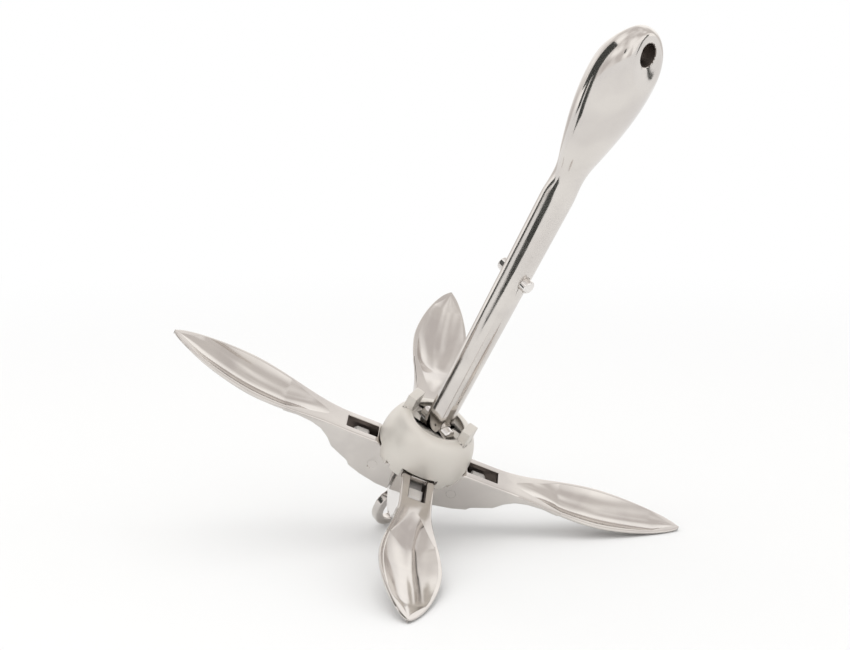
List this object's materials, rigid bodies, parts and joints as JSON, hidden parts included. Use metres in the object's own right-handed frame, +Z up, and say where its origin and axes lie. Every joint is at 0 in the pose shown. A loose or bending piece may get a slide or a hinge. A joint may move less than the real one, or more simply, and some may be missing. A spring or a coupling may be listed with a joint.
{
  "type": "boat anchor",
  "caption": "Folding grapnel anchor of polished stainless steel, with hinged spoon-shaped flukes, a sliding locking collar, a shackle head and a trip eye.",
  "frame": {"origin": "on the ground, under the middle of the anchor's bounding box", "axes": "+Z up; the anchor stands open as it rests on the ground, its shank leaning towards +X and -Y"},
  "size_m": [0.2572, 0.2572, 0.2559],
  "materials": {
    "polished_steel": "mirror-polished stainless steel",
    "cast_steel": "satin cast stainless steel",
    "pin_steel": "turned and polished stainless steel"
  },
  "bodies": {
    "shank": {"shank": "polished_steel", "upper_stud": "pin_steel", "lower_stud": "pin_steel", "crown": "cast_steel", "trip_eye": "polished_steel", "pivot_pin_right": "pin_steel", "pivot_pin_back": "pin_steel", "pivot_pin_left": "pin_steel", "pivot_pin_front": "pin_steel"},
    "collar": {"collar": "polished_steel"},
    "fluke_right": {"fluke_right": "polished_steel"},
    "fluke_back": {"fluke_back": "polished_steel"},
    "fluke_left": {"fluke_left": "polished_steel"},
    "fluke_front": {"fluke_front": "polished_steel"}
  },
  "joints": [
    {"name": "collar_slide", "type": "slide", "parent": "shank", "child": "collar", "axis": [0.3862, -0.3862, 0.8377], "range_m": [0, 0.135]},
    {"name": "fluke_right_fold", "type": "hinge", "parent": "shank", "child": "fluke_right", "pos_m": [0.00999, 0.01201, 0.02499], "axis": [-0.0811, -0.9189, -0.3862], "range_deg": [0, 78]},
    {"name": "fluke_back_fold", "type": "hinge", "parent": "shank", "child": "fluke_back", "pos_m": [-0.00844, 0.03044, 0.04198], "axis": [0.9189, 0.0811, -0.3862], "range_deg": [0, 78]},
    {"name": "fluke_left_fold", "type": "hinge", "parent": "shank", "child": "fluke_left", "pos_m": [-0.03044, 0.00844, 0.04198], "axis": [0.0811, 0.9189, 0.3862], "range_deg": [0, 78]},
    {"name": "fluke_front_fold", "type": "hinge", "parent": "shank", "child": "fluke_front", "pos_m": [-0.01201, -0.00999, 0.02499], "axis": [-0.9189, -0.0811, 0.3862], "range_deg": [0, 78]}
  ],
  "couplings": [
    {"joint": "fluke_right_fold", "follows": "collar_slide", "rad_per_m": 10.084},
    {"joint": "fluke_back_fold", "follows": "collar_slide", "rad_per_m": 10.084},
    {"joint": "fluke_left_fold", "follows": "collar_slide", "rad_per_m": 10.084},
    {"joint": "fluke_front_fold", "follows": "collar_slide", "rad_per_m": 10.084}
  ]
}
